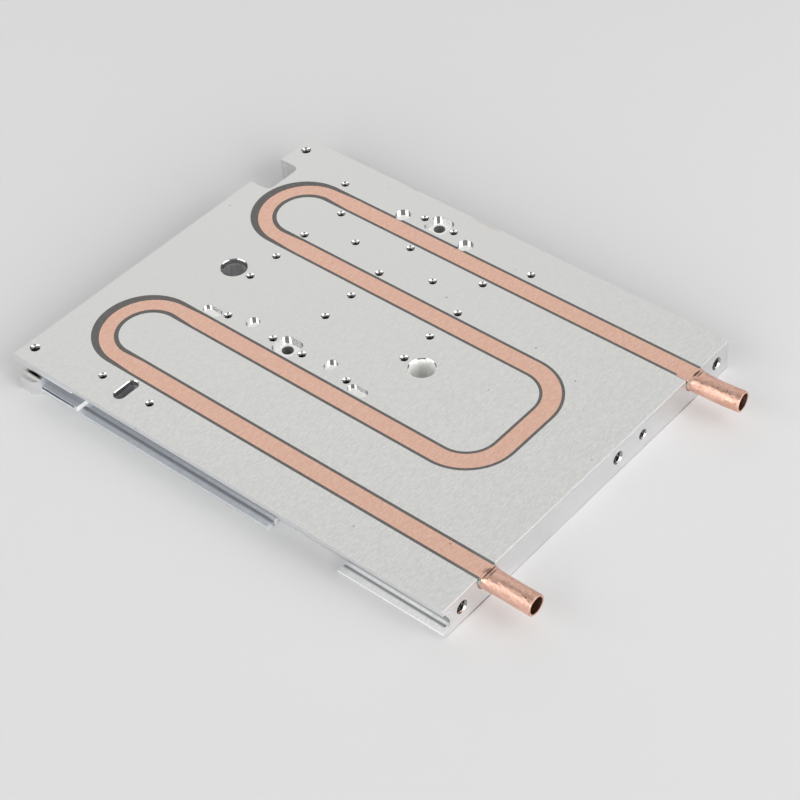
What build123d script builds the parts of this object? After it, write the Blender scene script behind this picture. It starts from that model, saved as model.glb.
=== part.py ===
"""Liquid cooling plate: a machined aluminium plate with one copper tube pressed into its top.

Frame: millimetres, +Z up. The origin is the centre of the plate's underside. X runs along the
long side towards the tube ends, Y along the short side away from the slotted long edge.
"""
import os
from math import radians, sqrt

from build123d import *

# Plate
plate_length = 250.0
plate_width = 200.0
plate_thickness = 16.5
top_edge_chamfer = 0.25
foot_radius = 2.0             # rounding under the slotted long edge

# Copper tube: round outside the plate, pressed flat and cut flush inside it
tube_od = 10.0
tube_wall = 1.0
tube_centre_depth = 3.2       # axis of the round stubs, below the plate's top
press_sink = 0.25             # the pressed tube's round underside lies this much lower
flat_corner = 0.8             # corner radius beside the flat on the straight runs
bend_flat_corner = 1.6        # the flat is narrower where the tube is bent
bore_flat_corner = 0.55
bore_bend_flat_corner = 0.9
flat_taper = 12.0             # length over which the flat narrows before a bend
bend_radius = 19.5            # left U-bends
turn_radius = 20.3            # right corners of the inner loop
outer_run_y = 72.5            # the two runs that leave the plate
bend_x = -85.3                # centre of the left U-bends
turn_x = 87.75                # centreline of the cross run
cut_overrun = 1.2             # the flush cut runs a little past the end face
cut_step = 0.3                # and stops in a small step
stub_length = 25.2            # tube standing out of the end face
stub_step_length = 3.0        # from the end face to where the tube has sprung up
stub_step_rise = 1.1
stub_step_corner = 3.5        # and its corners open out
stub_blend_length = 10.0      # from the end face to the round section
far_stub_straight = 7.0       # straight end of the far stub, behind a slight bend
far_stub_turn = 5.5           # degrees
tube_end_round = 0.3

# Groove and its filling
groove_clearance = 0.6
groove_bend_shift = 0.15      # the groove's bends lie a little further out than the tube's
relief_shift = 2.0            # and are opened once more on their outer side
relief_depth = 7.0
epoxy_gap_length = 5.8        # the filling is missing beside the far exit
epoxy_gap_depth = 2.6

# Side slot along the near long edge
flange = 2.7
slot_depth = 7.7
ledge = 2.9
ledge_groove_width = 2.1
ledge_groove_depth = 0.8
ledge_groove_from_edge = 2.6
slot_cutter_radius = 5.8      # plan radius that closes the slot at the tube end
slot_breakout = 4.05          # depth at which that arc leaves through the end face
thick_flange = 3.9            # stouter stretch beside the left corner
thick_flange_end_x = -88.0
thick_ledge_rise = 2.4
thick_ledge_end_x = -86.0
edge_groove_start_x = -113.8  # narrow groove in the front of that stretch
edge_groove_end_x = -87.7
edge_groove_height = 1.3
edge_groove_depth = 2.5
edge_groove_lip = 0.35
window_start_x = 29.0         # ledge cut away down to the table
window_end_x = 68.6
corner_recess = 5.0           # the flange overhangs the left corner by this much
block_length = 11.0           # filled stretch of the slot beside the left corner
block_height = 8.9
lug_length = 7.8
lug_height = 7.7
lug_reach = 2.8
lug_slant = 3.2               # its side runs back to the plate at a slant over this length
slit_start_x = -117.6         # deep slit behind the filled stretch's front
slit_end_x = -109.9
slit_from_edge = 0.6
slit_width = 1.2
slit_depth = 6.0

# Notch through the left edge
notch_depth = 12.2
notch_y = 67.7
notch_width = 21.8
notch_corner = 3.5

# Hole pattern for the electronics, about its own centre line
pattern_x = -29.0
tap_core = 3.3
tap_mouth = 4.1
tap_depth = 12.0
grid_pitch_x = 46.8
grid_rows_y = (3.9, 21.8, 41.6)
row_pitch_x = 43.3
row_y = 64.1
pair_rows = ((57.0, 82.6), (23.6, 51.9), (35.9, -22.6))  # half spacing, y
pocket_pair = 8.8
through_core = 12.2
through_chamfer = 0.4
through_half_spacing = 57.2
through_y = 3.9
corner_core = 4.2
corner_mouth = 5.0
corner_hole_x = -119.7
corner_hole_y = 91.5

# Obround slot with its two tapped holes
oblong_x = -66.9
oblong_y = -85.8
oblong_width = 5.4
oblong_length = 13.1
oblong_chamfer = 0.35
oblong_pair = 14.7

# Shallow pockets in the top
square_pocket = 11.8
square_pocket_depth = 2.4
square_pocket_corner = 2.9
square_pocket_hole = 5.6
square_pocket_rows_y = (-21.75, 85.4)
round_pocket = 7.8
round_pocket_depth = 1.9
round_pocket_half_spacing = 19.1
long_pocket_length = 10.6
long_pocket_width = 5.2
long_pocket_depth = 1.5
long_pocket_half_spacing = 44.0
long_pocket_y = -24.5
small_pocket_width = 5.8
small_pocket_length = 7.2
small_pocket_depth = 1.9
small_pocket_half_spacing = 23.6
small_pocket_y = -19.0

# Tapped holes in the end face: y, core, mouth
end_holes = ((-88.2, 5.0, 6.6), (17.0, 5.0, 6.6), (35.0, 4.2, 5.3), (90.9, 5.0, 6.6))
end_hole_z = 9.0
end_hole_depth = 14.0
drill_point = 0.3             # cone height of a blind hole as a share of its core

# Derived places
half_length = plate_length / 2
half_width = plate_width / 2
tube_radius = tube_od / 2
inner_run_y = outer_run_y - 2 * bend_radius
groove_radius = tube_radius + groove_clearance
groove_bend_x = bend_x - groove_bend_shift
relief_x = bend_x - relief_shift
slot_wall_y = slot_depth - half_width
near_edge_y = -half_width
block_start_x = corner_recess - half_length


def block(x0, x1, y0, y1, z0, z1):
    """Box between two opposite corners."""
    middle = ((x0 + x1) / 2, (y0 + y1) / 2, (z0 + z1) / 2)
    return Pos(*middle) * Box(x1 - x0, y1 - y0, z1 - z0)


def top_prism(outline, depth):
    """Plan outline cut down from the plate's top, with a little to spare above it."""
    spare = 1.0
    return extrude(Pos(0, 0, plate_thickness - depth) * outline, depth + spare)


def across(x, y):
    """Section plane across the tube, at a point of its route that heads along X."""
    return Plane(origin=(x, y, plate_thickness), x_dir=(0, 1, 0), z_dir=(1, 0, 0))


def flat_section(radius, corner, sunk):
    """Round underside, upright sides and a flat top that lies sunk below the plate's top."""
    axis = -tube_centre_depth - press_sink
    shoulder = -sunk - corner
    edge = radius - corner
    outline = [
        ThreePointArc((-radius, axis), (0, axis - radius), (radius, axis)),
        Line((radius, axis), (radius, shoulder)),
        RadiusArc((radius, shoulder), (edge, -sunk), -corner),
        Line((edge, -sunk), (-edge, -sunk)),
        RadiusArc((-edge, -sunk), (-radius, shoulder), -corner),
        Line((-radius, shoulder), (-radius, axis)),
    ]
    return make_face(outline)


def round_section(radius):
    """Circle in as many arcs as the flat section has edges, so that the two can be blended."""
    axis = -tube_centre_depth

    def at(angle):
        return Vector(radius, 0).rotate(Axis.Z, angle) + Vector(0, axis)

    stations = (0, 30, 50, 130, 150, 180)
    arcs = [ThreePointArc(at(180), at(270), at(360))]
    for start, end in zip(stations, stations[1:]):
        arcs.append(ThreePointArc(at(start), at((start + end) / 2), at(end)))
    return make_face(arcs)


def trough_section(radius):
    """Groove section: round bottom and straight sides, open above the plate's top."""
    axis = -tube_centre_depth - press_sink
    spare = 1.0
    outline = [
        ThreePointArc((-radius, axis), (0, axis - radius), (radius, axis)),
        Line((radius, axis), (radius, spare)),
        Line((radius, spare), (-radius, spare)),
        Line((-radius, spare), (-radius, axis)),
    ]
    return make_face(outline)


def straight(section, x0, x1, y):
    """One section pushed along X."""
    return extrude(across(x0, y) * section, x1 - x0)


def blend(first, second, x0, x1, y):
    """Blend between two sections along X."""
    return loft([across(x0, y) * first, across(x1, y) * second], ruled=True)


def both_halves(half):
    """One solid of the near half's pieces and their mirror images: the route is symmetric."""
    pieces = half + [mirror(piece, about=Plane.XZ) for piece in half]
    return pieces[0] + pieces[1:]


def half_loop(run_section, bend_section, centre_x, run_end_x, taper):
    """Near half of the route, piece by piece: runs, U-bend, corner and half the cross run."""
    taper_x = centre_x + taper
    corner_x = turn_x - turn_radius
    bend_axis = Axis((centre_x, -outer_run_y + bend_radius, 0), (0, 0, -1))
    corner_axis = Axis((corner_x, -inner_run_y + turn_radius, 0), (0, 0, 1))
    cross_start = -inner_run_y + turn_radius
    cross_plane = Plane(origin=(turn_x, cross_start, plate_thickness), x_dir=(-1, 0, 0), z_dir=(0, 1, 0))
    half = [
        straight(run_section, taper_x, run_end_x, -outer_run_y),
        straight(run_section, taper_x, corner_x, -inner_run_y),
        revolve(across(centre_x, -outer_run_y) * bend_section, bend_axis, 180),
        revolve(across(corner_x, -inner_run_y) * run_section, corner_axis, 90),
        extrude(cross_plane * run_section, -cross_start),
    ]
    if taper > 0:
        for y in (-outer_run_y, -inner_run_y):
            half.append(blend(bend_section, run_section, centre_x, taper_x, y))
    return half


def far_stub(circle, round_x, overrun):
    """Round end of the far stub: a slight bend away from the middle, then a straight stretch."""
    bent_length = stub_length - stub_blend_length - far_stub_straight
    bend_y = outer_run_y + bent_length / radians(far_stub_turn)
    bend_axis = Axis((round_x, bend_y, 0), (0, 0, 1))
    end = straight(circle, round_x, round_x + far_stub_straight + overrun, outer_run_y)
    return [
        revolve(across(round_x, outer_run_y) * circle, bend_axis, far_stub_turn),
        end.rotate(bend_axis, far_stub_turn),
    ]


def tube_body(inset, corner, bend_corner, overrun):
    """Outside of the tube, or its bore where inset is the wall."""
    radius = tube_radius - inset
    run = flat_section(radius, corner, inset)
    bend = flat_section(radius, bend_corner, inset)
    stub_start = flat_section(radius, corner, inset - cut_step)
    stub_step = flat_section(radius, stub_step_corner - inset, inset - stub_step_rise)
    circle = round_section(radius)
    cut_x = half_length + cut_overrun
    step_x = half_length + stub_step_length
    round_x = half_length + stub_blend_length
    end_x = half_length + stub_length + overrun
    half = half_loop(run, bend, bend_x, cut_x, flat_taper)
    half.append(blend(stub_start, stub_step, cut_x, step_x, -outer_run_y))
    half.append(blend(stub_step, circle, step_x, round_x, -outer_run_y))
    near_end = straight(circle, round_x, end_x, -outer_run_y)
    return both_halves(half) + [near_end, *far_stub(circle, round_x, overrun)]


def make_tube(outside):
    bore = tube_body(tube_wall, bore_flat_corner, bore_bend_flat_corner, 1.0)
    tube = outside - bore
    end_faces = tube.faces().filter_by(GeomType.PLANE).sort_by(Axis.X)[-2:]
    rims = [edge for face in end_faces for edge in face.outer_wire().edges()]
    return fillet(rims, tube_end_round)


def make_groove():
    """Everything that is milled out of the top for the tube and its filling."""
    trough = trough_section(groove_radius)
    spare = 1.0
    half = half_loop(trough, trough, groove_bend_x, half_length + spare, 0.0)
    outer = bend_radius + groove_radius
    middle_y = -outer_run_y + bend_radius
    relief = Circle(outer) - Pos(outer, 0) * Rectangle(2 * outer, 2 * outer)
    relief += Pos(relief_shift / 2, 0) * Rectangle(relief_shift, 2 * outer)
    relief -= Circle(bend_radius)
    relief -= Pos(bend_radius / 2, 0) * Rectangle(bend_radius, 2 * bend_radius)
    half.append(top_prism(Pos(relief_x, middle_y) * relief, relief_depth))
    return both_halves(half)


def tapped_hole(x, y, core, mouth, depth):
    """Blind tapping hole in the top: countersunk mouth and a drill point."""
    sink = (mouth - core) / 2
    point = drill_point * core
    profile = Polyline(
        (0, 1.0), (mouth / 2 + 1.0, 1.0), (core / 2, -sink), (core / 2, -depth), (0, -depth - point),
        close=True)
    hole = revolve(Plane.XZ * make_face(profile), Axis.Z)
    return Pos(x, y, plate_thickness) * hole


def end_hole(y, core, mouth):
    """Blind tapping hole in the end face."""
    return Pos(half_length, y, end_hole_z) * Rot(0, 90, 0) * Pos(0, 0, -plate_thickness) * tapped_hole(
        0, 0, core, mouth, end_hole_depth)


def tapped_places():
    """Centres of the small tapped holes."""
    places = [(pattern_x + column * grid_pitch_x, y) for column in (-1, 0, 1) for y in grid_rows_y]
    places += [(pattern_x + column * row_pitch_x, row_y) for column in (-1, 0, 1)]
    rows = list(pair_rows) + [(pocket_pair, y) for y in square_pocket_rows_y]
    places += [(pattern_x + side * half_spacing, y) for half_spacing, y in rows for side in (-1, 1)]
    places += [(oblong_x + side * oblong_pair, oblong_y) for side in (-1, 1)]
    return places


def chamfered_through(outline, wider_outline, chamfer):
    """Through opening with a chamfered mouth in the top."""
    through = extrude(Pos(0, 0, -1.0) * outline, plate_thickness + 2.0)
    mouth = loft([
        Pos(0, 0, plate_thickness - chamfer) * outline,
        Pos(0, 0, plate_thickness) * wider_outline])
    return through + mouth


def round_pocket_places():
    """Low edge of each round pocket touches the tube's side, but not the tube."""
    y = outer_run_y + tube_radius + round_pocket / 2
    return [(pattern_x + side * round_pocket_half_spacing, y) for side in (-1, 1)]


def make_pockets():
    """Shallow pockets and the holes in their floors."""
    square = RectangleRounded(square_pocket, square_pocket, square_pocket_corner)
    long = RectangleRounded(long_pocket_length, long_pocket_width, long_pocket_width / 2 - 0.1)
    small = RectangleRounded(small_pocket_width, small_pocket_length, small_pocket_width / 2 - 0.1)
    cuts = []
    for y in square_pocket_rows_y:
        cuts.append(top_prism(Pos(pattern_x, y) * square, square_pocket_depth))
        drill = Cylinder(square_pocket_hole / 2, 2 * plate_thickness + 2.0)
        cuts.append(Pos(pattern_x, y) * drill)
    for side in (-1, 1):
        long_x = pattern_x + side * long_pocket_half_spacing
        cuts.append(top_prism(Pos(long_x, long_pocket_y) * long, long_pocket_depth))
        small_x = pattern_x + side * small_pocket_half_spacing
        cuts.append(top_prism(Pos(small_x, small_pocket_y) * small, small_pocket_depth))
    for x, y in round_pocket_places():
        cuts.append(top_prism(Pos(x, y) * Circle(round_pocket / 2), round_pocket_depth))
    return cuts


def side_slot():
    """Slot milled into the near long edge, its ledge window and the left corner's recess."""
    spare = 1.0
    arc_height = slot_cutter_radius - slot_depth + slot_breakout
    arc_x = half_length - sqrt(slot_cutter_radius ** 2 - arc_height ** 2)
    outside_y = near_edge_y - spare
    plan = Pos((thick_ledge_end_x + arc_x) / 2, (outside_y + slot_wall_y) / 2) * Rectangle(
        arc_x - thick_ledge_end_x, slot_wall_y - outside_y)
    plan += Pos(arc_x, slot_wall_y - slot_cutter_radius) * Circle(slot_cutter_radius)
    mouth_depth = slot_depth - slot_cutter_radius
    plan += Pos((arc_x + half_length) / 2, near_edge_y + mouth_depth / 2 - spare / 2) * Rectangle(
        half_length - arc_x + 2 * spare, mouth_depth + spare)
    slot_top = plate_thickness - flange
    main = extrude(Pos(0, 0, ledge) * plan, slot_top - ledge)
    window = block(window_start_x, window_end_x, outside_y, slot_wall_y, -spare, ledge + spare)
    groove_y = near_edge_y + ledge_groove_from_edge
    line = block(
        thick_ledge_end_x, half_length - slot_breakout / 2, groove_y, groove_y + ledge_groove_width,
        ledge - ledge_groove_depth, ledge + spare)
    return [main, window, line, *left_stretch(outside_y, slot_top)]


def left_stretch(outside_y, slot_top):
    """Slot beside the left corner: stouter flange, higher ledge, filled stretch and recess."""
    spare = 1.0
    thick_top = plate_thickness - thick_flange
    floor = ledge + thick_ledge_rise
    block_end_x = block_start_x + block_length
    edge_groove_top = floor - edge_groove_lip
    slit_y = near_edge_y + slit_from_edge
    return [
        block(block_end_x, thick_ledge_end_x, outside_y, slot_wall_y, floor, thick_top),
        block(thick_flange_end_x, thick_ledge_end_x, outside_y, slot_wall_y, floor, slot_top),
        block(
            edge_groove_start_x, edge_groove_end_x, outside_y, near_edge_y + edge_groove_depth,
            edge_groove_top - edge_groove_height, edge_groove_top),
        block(block_start_x, block_end_x, outside_y, slot_wall_y, block_height, thick_top),
        block(slit_start_x, slit_end_x, slit_y, slit_y + slit_width, block_height - slit_depth, thick_top),
        block(-half_length - spare, block_start_x, outside_y, slot_wall_y, -spare, thick_top),
    ]


def make_notch():
    spare = 4.0
    outline = RectangleRounded(notch_depth + spare, notch_width, notch_corner)
    middle_x = -half_length + (notch_depth - spare) / 2
    return extrude(Pos(middle_x, notch_y, -1.0) * outline, plate_thickness + 2.0)


def make_blank():
    """Plate before any hole or groove, with its broken top edges and its rounded foot."""
    blank = block(-half_length, half_length, -half_width, half_width, 0, plate_thickness)
    blank = chamfer(blank.faces().sort_by(Axis.Z)[-1].edges(), top_edge_chamfer)
    foot = blank.faces().sort_by(Axis.Z)[0].edges().sort_by(Axis.Y)[:1]
    return fillet(foot, foot_radius)


def make_holes():
    """Through openings and tapped holes."""
    cuts = [tapped_hole(x, y, tap_core, tap_mouth, tap_depth) for x, y in tapped_places()]
    for side in (-1, 1):
        cuts.append(tapped_hole(corner_hole_x, side * corner_hole_y, corner_core, corner_mouth, tap_depth))
        wide = Circle(through_core / 2 + through_chamfer)
        place = Pos(pattern_x + side * through_half_spacing, through_y)
        cuts.append(chamfered_through(place * Circle(through_core / 2), place * wide, through_chamfer))
    oblong = Rot(0, 0, 90) * SlotOverall(oblong_length, oblong_width)
    oblong_wide = Rot(0, 0, 90) * SlotOverall(
        oblong_length + 2 * oblong_chamfer, oblong_width + 2 * oblong_chamfer)
    place = Pos(oblong_x, oblong_y)
    cuts.append(chamfered_through(place * oblong, place * oblong_wide, oblong_chamfer))
    cuts += [end_hole(y, core, mouth) for y, core, mouth in end_holes]
    return cuts


def make_plate(groove):
    lug_end_x = block_start_x + lug_length
    lug_y = near_edge_y - lug_reach
    outline = Polyline(
        (block_start_x, lug_y), (lug_end_x, lug_y), (lug_end_x + lug_slant, near_edge_y),
        (lug_end_x, slot_wall_y), (block_start_x, slot_wall_y), close=True)
    lug = extrude(make_face(outline), lug_height)
    plate = make_blank() - side_slot() + lug
    return plate - [groove, make_notch()] - make_pockets() - make_holes()


def make_filling(groove, tube_outside):
    """Thermal epoxy between the tube and the groove, cut flush with the plate's top."""
    envelope = block(-half_length, half_length, -half_width, half_width, 0, plate_thickness)
    filling = (groove & envelope) - tube_outside
    gap_y = outer_run_y - groove_radius
    filling -= block(
        half_length - epoxy_gap_length, half_length + 1.0, gap_y - 1.0, outer_run_y - tube_radius / 2,
        plate_thickness - epoxy_gap_depth, plate_thickness + 1.0)
    for x, y in round_pocket_places():
        reach = round_pocket / 2 + groove_clearance
        filling -= top_prism(Pos(x, y) * Circle(reach), round_pocket_depth)
    return filling


os.makedirs("parts", exist_ok=True)
groove = make_groove()
tube_outside = tube_body(0.0, flat_corner, bend_flat_corner, 0.0)
nodes = {
    "base_plate": make_plate(groove),
    "coolant_tube": make_tube(tube_outside),
    "thermal_epoxy": make_filling(groove, tube_outside),
}
for name, shape in nodes.items():
    print(name, "solids", len(shape.solids()), "volume", round(shape.volume / 1000, 2), "cm3")
    export_step(shape, f"parts/{name}.step")
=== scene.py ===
"""A liquid cooling plate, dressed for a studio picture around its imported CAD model.

The plate is milled aluminium with a copper tube pressed into its top. Units are metres, +Z is up,
and the origin is the centre of the plate's underside.
"""
import math
import random

import bmesh
import bpy
from mathutils import Matrix, Quaternion, Vector


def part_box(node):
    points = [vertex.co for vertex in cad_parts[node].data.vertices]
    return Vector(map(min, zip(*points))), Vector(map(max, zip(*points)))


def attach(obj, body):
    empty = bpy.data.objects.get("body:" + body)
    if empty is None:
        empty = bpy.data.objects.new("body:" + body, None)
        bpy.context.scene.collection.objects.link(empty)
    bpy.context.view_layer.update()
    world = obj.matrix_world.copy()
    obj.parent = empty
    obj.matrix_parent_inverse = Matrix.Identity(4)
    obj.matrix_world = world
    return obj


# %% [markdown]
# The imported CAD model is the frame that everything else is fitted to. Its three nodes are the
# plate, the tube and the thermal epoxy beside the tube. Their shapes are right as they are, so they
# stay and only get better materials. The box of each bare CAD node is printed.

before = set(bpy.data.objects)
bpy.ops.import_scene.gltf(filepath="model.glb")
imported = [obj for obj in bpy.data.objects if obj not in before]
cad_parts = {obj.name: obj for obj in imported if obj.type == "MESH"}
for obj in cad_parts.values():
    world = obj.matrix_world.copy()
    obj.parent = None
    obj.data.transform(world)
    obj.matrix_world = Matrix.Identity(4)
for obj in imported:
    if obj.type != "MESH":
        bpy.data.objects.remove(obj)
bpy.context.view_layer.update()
scene = bpy.context.scene
MM = 0.001
print("nodes:", sorted(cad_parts))
for name in sorted(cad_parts):
    lo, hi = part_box(name)
    print(name, [round(v / MM, 2) for v in lo], [round(v / MM, 2) for v in hi])

# %% [markdown]
# The picture was taken from in front of the tube end, from above, with a long lens. Three turns set
# the camera: round the upright axis, down towards the plate, and a slight roll of the camera itself.
# They could be an aim constraint, but a matrix of three rotations keeps the roll in plain sight.

# %% Camera
CAMERA_PLACE = Vector((0.48833, -0.50863, 0.65172))
CAMERA_AZIMUTH, CAMERA_ELEVATION, CAMERA_ROLL = 42.806, 43.511, -3.816
CAMERA_LENS = 95.649


def make_camera():
    data = bpy.data.cameras.new("studio_camera")
    data.sensor_width = 36.0
    data.lens = CAMERA_LENS
    data.clip_start, data.clip_end = 0.05, 20.0
    camera = bpy.data.objects.new("studio_camera", data)
    turn = Matrix.Rotation(math.radians(CAMERA_AZIMUTH), 4, "Z")
    tilt = Matrix.Rotation(math.radians(90.0 - CAMERA_ELEVATION), 4, "X")
    roll = Matrix.Rotation(math.radians(CAMERA_ROLL), 4, "Z")
    camera.matrix_world = Matrix.Translation(CAMERA_PLACE) @ turn @ tilt @ roll
    scene.collection.objects.link(camera)
    scene.camera = camera
    return camera


studio_camera = make_camera()
scene.view_settings.view_transform = "Standard"
view_axis = studio_camera.matrix_world.to_3x3() @ Vector((0, 0, -1))
print("camera looks along", [round(v, 3) for v in view_axis])

# %% [markdown]
# The room's light and every finish are nets of small nodes. Adding each node and link one by one
# fills pages and hides the idea, so a few helpers add one node apiece. They take sockets or plain
# values alike and give back the socket that comes next. The nets could be drawn in the node editor
# too, but a script can be read, compared and run again.

# %% Node helpers
def new_node(tree, kind, place=(0, 0), **values):
    """Adds a node. Keyword values set its properties, or else its inputs, with _ for a space."""
    node = tree.nodes.new(kind)
    node.location = place
    for key, value in values.items():
        if hasattr(node, key):
            setattr(node, key, value)
        else:
            node.inputs[key.replace("_", " ")].default_value = value
    return node


def feed(tree, socket, value):
    """Links a socket to another one, or gives it a plain number, a Vector or a colour triple."""
    if isinstance(value, bpy.types.NodeSocket):
        tree.links.new(value, socket)
    else:
        socket.default_value = (*value, 1.0) if isinstance(value, tuple) else value


def ramp_between(tree, value, start, end, low=0.0, high=1.0):
    """A value mapped smoothly from start..end to low..high."""
    node = new_node(
        tree, "ShaderNodeMapRange", interpolation_type="SMOOTHSTEP",
        From_Min=start, From_Max=end, To_Min=low, To_Max=high)
    tree.links.new(value, node.inputs["Value"])
    return node.outputs["Result"]


def maths(tree, operation, *operands, clamp=False):
    """One Math node."""
    node = new_node(tree, "ShaderNodeMath", operation=operation, use_clamp=clamp)
    for socket, operand in zip(node.inputs, operands):
        feed(tree, socket, operand)
    return node.outputs["Value"]


def vector_maths(tree, operation, *operands):
    """One Vector Math node; gives all its outputs."""
    node = new_node(tree, "ShaderNodeVectorMath", operation=operation)
    for socket, operand in zip(node.inputs, operands):
        feed(tree, socket, operand)
    return node.outputs


def product(tree, first, *others):
    """Masks multiplied with each other."""
    for other in others:
        first = maths(tree, "MULTIPLY", first, other)
    return first


def inverted(tree, mask):
    """One minus the mask."""
    return maths(tree, "SUBTRACT", 1.0, mask)


def reach_along(tree, vector, heading):
    """How far a vector reaches along a heading; from -1 to 1 if the vector is a direction."""
    return vector_maths(tree, "DOT_PRODUCT", vector, Vector(heading).normalized())["Value"]


print("node helpers ready")

# %% [markdown]
# Bare metal shows little but what it mirrors, so the room matters as much as the lamps. A plain grey
# world would make every face look alike. Here the world is a dark dome with a few wide soft glows,
# like white sheets hung round a table. Real lit sheets could stand there too, but a glow has no rim
# that would show in the smooth countersinks. Each is set by its compass angle, height and strength.

# %% World
DOME_BASE = 0.03
GLOW_RIM, GLOW_CORE = 0.5, 0.97    # cosines between which a glow rises
DARK_SIDE = (-47.0, 46.0)          # compass angle and height of a dark patch, the camera's side
DARK_RIM, DARK_CORE, DARK_SHARE = 0.74, 0.93, 0.05
GLOWS = (  # compass angle from +X, height above the table, strength
    (0.0, 12.0, 1.13),
    (0.0, 40.0, 0.96),
    (135.0, 12.0, 0.74),
    (135.0, 66.0, 0.44),
    (180.0, 12.0, 0.11),
    (270.0, 12.0, 0.93),
    (315.0, 12.0, 6.60),
)


def towards(compass, height):
    """Unit vector towards a compass angle and a height, both in degrees."""
    a, e = math.radians(compass), math.radians(height)
    return Vector((math.cos(e) * math.cos(a), math.cos(e) * math.sin(a), math.sin(e)))


def make_world():
    world = bpy.data.worlds.new("studio_dome")
    world.use_nodes = True
    tree = world.node_tree
    tree.nodes.clear()
    where = new_node(tree, "ShaderNodeTexCoord").outputs["Generated"]
    total = DOME_BASE
    for compass, height, strength in GLOWS:
        near = reach_along(tree, where, towards(compass, height))
        glow = ramp_between(tree, near, GLOW_RIM, GLOW_CORE, 0.0, strength)
        total = maths(tree, "ADD", glow, total)
    ahead = reach_along(tree, where, towards(*DARK_SIDE))
    total = product(tree, total, ramp_between(tree, ahead, DARK_RIM, DARK_CORE, 1.0, DARK_SHARE))
    light = new_node(tree, "ShaderNodeBackground")
    tree.links.new(total, light.inputs["Strength"])
    out = new_node(tree, "ShaderNodeOutputWorld")
    tree.links.new(light.outputs["Background"], out.inputs["Surface"])
    scene.world = world
    print("dome:", DOME_BASE, "and", len(GLOWS), "soft glows")


make_world()

# %% [markdown]
# Two soft boxes stand left and right of the camera, long and low, each rolled so that its far end
# dips. They do what the glows can't: they draw a crisp pair of highlights in each countersink and on
# the round tube ends, and soft shadows on the table. A weak third one hangs overhead. Area lamps
# suit that, because their size and roll alone set how wide each highlight is.

# %% Lamps
LAMPS = (  # name, compass angle, height, roll, distance, width, depth, radiance
    ("left_softbox", -121.0, 34.0, 22.5, 1.5, 1.6, 0.56, 1.6),
    ("right_softbox", 28.6, 34.0, -22.5, 0.9, 0.96, 0.34, 1.35),
    ("top_softbox", 60.0, 78.0, 0.0, 1.6, 1.0, 1.0, 0.23),
)


def make_lamp(name, compass, height, roll, distance, width, depth, radiance):
    data = bpy.data.lights.new(name, "AREA")
    data.shape = "RECTANGLE"
    data.size, data.size_y = width, depth
    data.energy = radiance * math.pi * width * depth
    lamp = bpy.data.objects.new(name, data)
    lamp.location = towards(compass, height) * distance
    lamp.rotation_mode = "QUATERNION"
    aim = (-lamp.location).to_track_quat("-Z", "Y")
    lamp.rotation_quaternion = aim @ Quaternion((0, 0, 1), math.radians(roll))
    scene.collection.objects.link(lamp)
    return lamp


for lamp_facts in LAMPS:
    made_lamp = make_lamp(*lamp_facts)
    print(made_lamp.name, round(made_lamp.data.energy, 2), "W")

# %% [markdown]
# The plate lies on a pale table top. One large matt sheet is enough; a curved backdrop isn't needed,
# because from this height the camera sees nothing but table.

# %% Floor
FLOOR_HALF = 3.0
FLOOR_DROP = 0.02 * MM             # keeps the sheet clear of the plate's underside
FLOOR_COLOUR = (0.785, 0.785, 0.785, 1.0)


def new_material(name):
    """A material with a Principled BSDF; gives also its tree and that shader."""
    material = bpy.data.materials.new(name)
    material.use_nodes = True
    tree = material.node_tree
    tree.nodes.clear()
    shader = new_node(tree, "ShaderNodeBsdfPrincipled", (600, 0))
    out = new_node(tree, "ShaderNodeOutputMaterial", (900, 0))
    tree.links.new(shader.outputs["BSDF"], out.inputs["Surface"])
    return material, tree, shader


def make_floor():
    mesh = bpy.data.meshes.new("table_top")
    h = FLOOR_HALF
    mesh.from_pydata([(-h, -h, 0), (h, -h, 0), (h, h, 0), (-h, h, 0)], [], [(0, 1, 2, 3)])
    floor = bpy.data.objects.new("table_top", mesh)
    floor.location.z = -FLOOR_DROP
    material, _, shader = new_material("pale_table")
    shader.inputs["Base Color"].default_value = FLOOR_COLOUR
    shader.inputs["Roughness"].default_value = 0.75
    shader.inputs["Specular IOR Level"].default_value = 0.2
    mesh.materials.append(material)
    scene.collection.objects.link(floor)


make_floor()
print("table top", 2 * FLOOR_HALF, "m square")

# %% [markdown]
# A fly cutter or a wide milling head leaves short fine scratches on aluminium, all in the cutter's
# direction. A picture of brushed metal could show them, but it would need to be laid out on every
# face. Noise that is stretched along one axis gives the same scratches anywhere, so it is made into
# a node group once, and each material asks it for its own scratch length and width.

# %% Node group: fine scratches
def new_group(name, inputs, outputs):
    """An empty node group with named sockets. inputs is a list of (name, kind, default)."""
    group = bpy.data.node_groups.new(name, "ShaderNodeTree")
    for label, kind, default in inputs:
        socket = group.interface.new_socket(label, in_out="INPUT", socket_type="NodeSocket" + kind)
        if default is not None:
            socket.default_value = default
    for label, kind in outputs:
        group.interface.new_socket(label, in_out="OUTPUT", socket_type="NodeSocket" + kind)
    entry = new_node(group, "NodeGroupInput", (-900, 0))
    leave = new_node(group, "NodeGroupOutput", (900, 0))
    return group, entry.outputs, leave.inputs


def noise_at(tree, position, **values):
    """Noise over the part; its Scale is in waves per metre."""
    node = new_node(tree, "ShaderNodeTexNoise", **values)
    tree.links.new(position, node.inputs["Vector"])
    return node.outputs["Fac"]


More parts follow.
